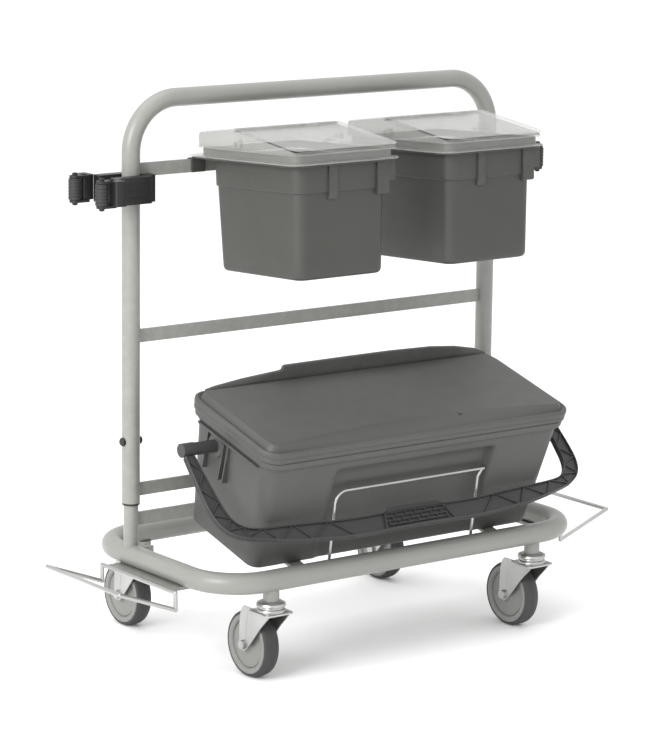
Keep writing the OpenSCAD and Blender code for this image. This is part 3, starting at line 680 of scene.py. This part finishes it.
def make_clear_lid(side):
    """Clear lid tray: rolled flange, neck lined with a dark sheet of painted shade, upper ledge, rear
    roof, cheeks and knuckles.
    """
    bm = bmesh.new()
    place = bucket_place(side)

    def outline(x, y0, y1, r):
        return round_outline(-x, x, y0, y1, r)

    rings = []
    for z, d in ((0.2088, 0.0008), (0.2098, 0.0), (0.2108, 0.0), (0.2116, 0.0006), (0.2119, 0.0020),
                 (0.2116, 0.0034)):
        rings.append(level(outline(0.1225 - d, -0.028 + d, 0.319 - d, 0.024 - d), z))
    for z, d in ((0.2112, 0.0), (0.2124, 0.0010), (0.2240, 0.0014), (0.2256, 0.0006)):
        rings.append(level(outline(0.1122 - d, -0.0182 + d, 0.2862 - d, 0.019 - d), z))
    # dark sheet inside the neck: painted shade standing in for the shadowed inside seen through the
    # clear neck, not a real seal
    neck_shade_mesh = bmesh.new()
    outside, inside = outline(0.1102, -0.0162, 0.2842, 0.0172), outline(0.1094, -0.0154, 0.2834, 0.0164)
    low_z, high_z = 0.2122, 0.2256
    loft(neck_shade_mesh, [level(outside, low_z), level(outside, high_z), level(inside, high_z),
                     level(inside, low_z)], join_ends=True)
    neck_shade_sheet = new_piece(side + "_neck_painted_shade", neck_shade_mesh, side + "_bucket_lid", "clear_lid",
                     [side + "_lid"], place)
    # the painted-shade sheet takes the dark bucket plastic so the neck band reads dark
    neck_shade_sheet.data.materials[0] = MATERIALS["bucket_plastic"]
    for z, d in ((0.2260, 0.0006), (0.2266, 0.0), (0.2280, 0.0), (0.2287, 0.0006)):
        rings.append(level(outline(0.1180 - d, -0.0240 + d, 0.2910 - d, 0.020 - d), z))
    rings.append(level(outline(0.1090, -0.0150, 0.2830, 0.016), 0.2287))
    rings.append(level(outline(0.1090, -0.0150, 0.2830, 0.016), 0.2120))
    rings.append(level(outline(0.1080, -0.0140, 0.2780, 0.015), 0.2090))
    loft(bm, rings, join_ends=True)
    # rear roof with rounded back edge
    roof = [(0.1700, 0.2664), (0.1900, 0.2648), (0.2400, 0.2598), (0.2720, 0.2562), (0.2775, 0.2546),
            (0.2802, 0.2510), (0.2810, 0.2460), (0.2812, 0.2286)]
    inner = [(0.2796, 0.2286), (0.2794, 0.2458), (0.2786, 0.2500), (0.2765, 0.2528), (0.2715, 0.2545),
             (0.2400, 0.2582), (0.1900, 0.2632), (0.1690, 0.2650)]
    add_prism(bm, roof + inner, -0.1140, 0.1140, "x")
    # cheeks below the flap and roof
    cheek = [(-0.0140, 0.2287), (-0.0140, 0.2325), (0.1560, 0.2612), (0.1700, 0.2648),
             (0.2720, 0.2546), (0.2794, 0.2480), (0.2796, 0.2287)]
    for s in (-1, 1):
        add_prism(bm, cheek, s * 0.1122, s * 0.1140, "x")
    add_box(bm, (-0.1122, -0.0140, 0.2287), (0.1122, -0.0125, 0.2322))
    # knuckles on the roof and lugs at the ends of the hinge line
    for x in (-0.056, 0.056):
        add_tube(bm, (x - 0.015, LID_RIDGE, HINGE_HEIGHT), (x + 0.015, LID_RIDGE, HINGE_HEIGHT),
                 0.0040, 24, 0.0015)
        add_box(bm, (x - 0.015, 0.1672, 0.2624), (x + 0.015, 0.1740, 0.2646))
    for s in (-1, 1):
        for y, z, r in ((0.150, 0.2400, 0.0070), (0.166, 0.2380, 0.0045)):
            add_lathe(bm, [(r, 0.0), (r, 0.0024), (r - 0.0008, 0.0030), (r * 0.45, 0.0030),
                           (r * 0.4, 0.0022), (0.0, 0.0022)], (s * 0.1140, y, z), (s, 0, 0), 32)
    return new_piece(side + "_clear_tray", bm, side + "_bucket_lid", "clear_lid", [side + "_lid"],
                     place, sharp=35)


def make_flap(side):
    """Clear front flap: thin sheet with a round finger recess, turned edge and hinge knuckles."""
    bm = bmesh.new()
    place = bucket_place(side)
    front, rear = -0.0240, 0.1600
    corner = 0.018
    columns, thick = 56, 0.0015
    crowding = math.pi / 2 * 0.86

    def half(y):
        gap = corner - (y - front)
        return 0.1180 if gap <= 0 else 0.1180 - corner + math.sqrt(max(0.0, corner ** 2 - gap ** 2))

    def top(x, y):
        z = 0.2352 + (y - front) * 0.1700
        z += (0.0012 * (1 - (x / 0.118) ** 2) * smooth_step((y - front) / 0.03)
              * smooth_step((rear - y) / 0.05))
        d = math.hypot(x, y - 0.020)
        z -= 0.0022 * (1 - smooth_step((d - 0.0135) / 0.0030))
        z += 0.0007 * (1 - smooth_step(abs(d - 0.0178) / 0.0016))
        lip = min(y - front, half(y) - abs(x))
        return z + 0.0008 * (1 - smooth_step(lip / 0.0040))

    rows = [front + corner * (1 - math.cos(math.pi / 2 * k / 8)) for k in range(9)]
    rows += [front + corner + 0.046 * k / 30 for k in range(1, 31)]
    rows += [0.040 + (rear - 0.040) * k / 16 for k in range(1, 17)]
    upper, lower = [], []
    for y in rows:
        # columns lie a little closer together towards the sides
        shares = [2 * k / columns - 1 for k in range(columns + 1)]
        xs = [half(y) * (0.3 * math.sin(crowding * t) / math.sin(crowding) + 0.7 * t) for t in shares]
        upper.append([bm.verts.new((x, y, top(x, y))) for x in xs])
        lower.append([bm.verts.new((x, y, top(x, y) - thick)) for x in xs])
    for grid in (upper, lower):
        for a, b in zip(grid, grid[1:]):
            for k in range(columns):
                bm.faces.new((a[k], a[k + 1], b[k + 1], b[k]))

    def border(grid):
        return grid[0] + [r[-1] for r in grid[1:]] + grid[-1][-2::-1] + [r[0] for r in grid[-2:0:-1]]

    bridge(bm, border(upper), border(lower))
    for x0, x1 in ((-0.114, -0.072), (-0.040, 0.040), (0.072, 0.114)):
        add_tube(bm, (x0, LID_RIDGE, HINGE_HEIGHT), (x1, LID_RIDGE, HINGE_HEIGHT), 0.0040, 24, 0.0016)
        add_prism(bm, [(0.1560, 0.2640), (0.1560, 0.2655), (0.1630, 0.2668), (0.1630, 0.2652)], x0, x1,
                  "x")
    return new_piece(side + "_flap_sheet", bm, side + "_bucket_flap", "clear_lid", [side + "_flap"],
                     place, sharp=35)


# ---------- casters ----------

def make_fork(corner):
    """Pressed fork: two swept legs, crown plate and ball race, with rounded pressed edges."""
    swivel = Vector(joint(corner + "_swivel")["pos_m"])
    place = Matrix.Translation((swivel.x, swivel.y, 0.0))
    bm = bmesh.new()
    sweep = catmull([(-0.0275, 0.1350), (-0.0245, 0.1300), (-0.0140, 0.1190), (0.0020, 0.1030),
                     (0.0160, 0.0865), (0.0300, 0.0700), (0.0400, 0.0590), (0.0450, 0.0545)], 6)
    toe = [(0.055 + 0.012 * math.cos(math.radians(a)), 0.0625 + 0.012 * math.sin(math.radians(a)))
           for a in range(225, 366, 10)]
    heel = catmull([(0.0670, 0.0680), (0.0668, 0.0900), (0.0650, 0.1150), (0.0600, 0.1300),
                    (0.0560, 0.1345)], 6)
    outline = sweep + toe + heel + [(0.0540, 0.1365), (-0.0270, 0.1365)]
    for s in (-1, 1):
        add_prism(bm, outline, s * 0.0205, s * 0.0233, "x")
        # pressed crease down the leg and rolled edge along the sweep
        crease = [(0.0395, 0.1300), (0.0405, 0.1300), (0.0478, 0.0740), (0.0466, 0.0740)]
        add_prism(bm, crease, s * 0.0230, s * 0.0238, "x")
        path = sweep[2:-4]
        rings = []
        for (a, b), (c, d) in zip(path, path[1:]):
            n = Vector((-(d - b), c - a)).normalized() * 0.0014
            c, d = a + abs(n.x), b + abs(n.y)
            rings.append([(s * 0.0205, a, b), (s * 0.0238, a, b), (s * 0.0238, c, d),
                          (s * 0.0205, c, d)])
        loft(bm, rings)
    # crown plate with turned edge and the ball race above it
    plate = [(0.1322, 0.0004), (0.1330, 0.0), (0.1352, 0.0), (0.1360, 0.0008), (0.1362, 0.0030)]
    rings = [level(round_outline(-0.031 + d, 0.031 - d, -0.031 + d, 0.031 - d, 0.009 - d), z)
             for z, d in plate]
    rings.append(level(round_outline(-0.022, 0.022, -0.022, 0.022, 0.006), 0.1366))
    loft(bm, rings)
    add_lathe(bm, [(0.0062, 0.1358), (0.0268, 0.1358), (0.0270, 0.1372), (0.0266, 0.1400),
                   (0.0252, 0.1416), (0.0232, 0.1420), (0.0230, 0.1428), (0.0230, 0.1446),
                   (0.0222, 0.1458), (0.0062, 0.1460)], (0, 0, 0), (0, 0, 1), 64, closed=True)
    for x in (-0.024, 0.024):
        for y in (-0.024, 0.024):
            add_lathe(bm, [(0.0030, 0.1360), (0.0030, 0.1368), (0.0022, 0.1375), (0.0, 0.1377)],
                      (x, y, 0), (0, 0, 1), 20)
    return new_piece(corner + "_fork_shell", bm, corner + "_swivel", "zinc", [corner + "_fork"], place,
                     bevel=0.0005, sharp=42, steps=2)


def make_wheel(corner):
    """Moulded hub with a raised rim ring, and the tyre round it."""
    centre = Vector(joint(corner + "_roll")["pos_m"])
    place = Matrix.Translation(centre)
    hub = [(0.0052, 0.0190), (0.0120, 0.0190), (0.0132, 0.0182), (0.0140, 0.0160), (0.0162, 0.0138),
           (0.0200, 0.0128), (0.0300, 0.0122), (0.0400, 0.0120), (0.0424, 0.0124), (0.0432, 0.0122),
           (0.0436, 0.0108), (0.0444, 0.0106), (0.0450, 0.0124), (0.0462, 0.0150), (0.0480, 0.0162),
           (0.0530, 0.0166), (0.0556, 0.0160), (0.0566, 0.0148)]
    bm = bmesh.new()
    profile = [(r, -h) for r, h in hub] + [(r, h) for r, h in hub[::-1]]
    add_lathe(bm, profile, (0, 0, 0), (1, 0, 0), 96, closed=True)
    new_piece(corner + "_hub_disc", bm, corner + "_wheel", "hub_plastic", [corner + "_hub"], place,
              sharp=50)
    tyre = [(0.0562, 0.0150), (0.0572, 0.0164), (0.0588, 0.0160), (0.0606, 0.0140), (0.0617, 0.0110),
            (0.0623, 0.0070)]
    grooves = [(0.0625, 0.0050), (0.0625, 0.0036), (0.0620, 0.0032), (0.0620, 0.0026), (0.0625, 0.0022)]
    bm = bmesh.new()
    half = tyre + grooves
    profile = [(r, -h) for r, h in half] + [(r, h) for r, h in half[::-1]]
    add_lathe(bm, profile, (0, 0, 0), (1, 0, 0), 120, closed=True)
    return new_piece(corner + "_tread", bm, corner + "_wheel", "tyre_rubber", [corner + "_tyre"],
                     place, sharp=50)


# ---------- tool clips ----------

def make_clip(side):
    """Clamp block either side of the post with two roller arms and shallow ribs on their faces."""
    s = -1 if side == "left" else 1
    low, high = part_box(side + "_clip")
    z0, z1 = low[2], high[2]
    post = 0.084
    bm = bmesh.new()

    def block(x0, x1, y0, y1, a, b, r=0.004):
        outline = round_outline(min(s * x0, s * x1), max(s * x0, s * x1), post + y0, post + y1, r, 4)
        loft(bm, [level(outline, a), level(outline, b)])

    # body either side of the post
    for t in (-1, 1):
        y0, y1 = sorted((t * 0.0176, t * 0.0390))
        block(0.399, 0.478, y0, y1, z0, z1, 0.003)
        y0, y1 = sorted((t * 0.0390, t * 0.0650))
        block(0.475, 0.4985, y0 if t > 0 else -0.071, y1 if t < 0 else 0.071, z0 + 0.004, z1, 0.004)
        for a, b in ((z0, z0 + 0.005), (z1 - 0.005, z1)):
            outline = [(s * (0.487), post + t * 0.045 - 0.010), (s * 0.513, post + t * 0.045 - 0.010)]
            arc = [(s * (0.513 + 0.010 * math.sin(math.radians(k))),
                    post + t * 0.045 - 0.010 * math.cos(math.radians(k))) for k in range(10, 180, 10)]
            outline = outline + arc + [(s * 0.513, post + t * 0.045 + 0.010),
                                       (s * 0.487, post + t * 0.045 + 0.010)]
            loft(bm, [level(outline, a), level(outline, b)])
        # shallow ribs on the arm's face
        for k in (0.012, 0.024, 0.036):
            add_box(bm, (min(s * 0.412, s * 0.468), post + t * 0.0388, z0 + k),
                    (max(s * 0.412, s * 0.468), post + t * 0.0400, z0 + k + 0.0014))
    block(0.382, 0.4035, -0.0240, 0.0240, z0, z1, 0.003)
    block(0.4385, 0.452, -0.0180, 0.0180, z0 + 0.006, z1 - 0.006, 0.002)
    return new_piece(side + "_clip_block", bm, "frame", "clip_plastic", [side + "_clip"], None,
                     bevel=0.0008, sharp=40, steps=2)


def dress_nodes():
    """Gives every carried node the finish of its material slot."""
    for row in frame["record"]["subparts"]:
        mesh = nodes[row["node"]].data
        mesh.materials.clear()
        mesh.materials.append(MATERIALS[row["material_slot"]])


add_camera()
add_studio()
dress_nodes()
make_box_tub()
make_box_lid()
make_bail()
for side in ("left", "right"):
    make_bucket_tub(side)
    make_clear_lid(side)
    make_flap(side)
    make_clip(side)
for corner in ("fl", "fr", "rl", "rr"):
    make_fork(corner)
    make_wheel(corner)
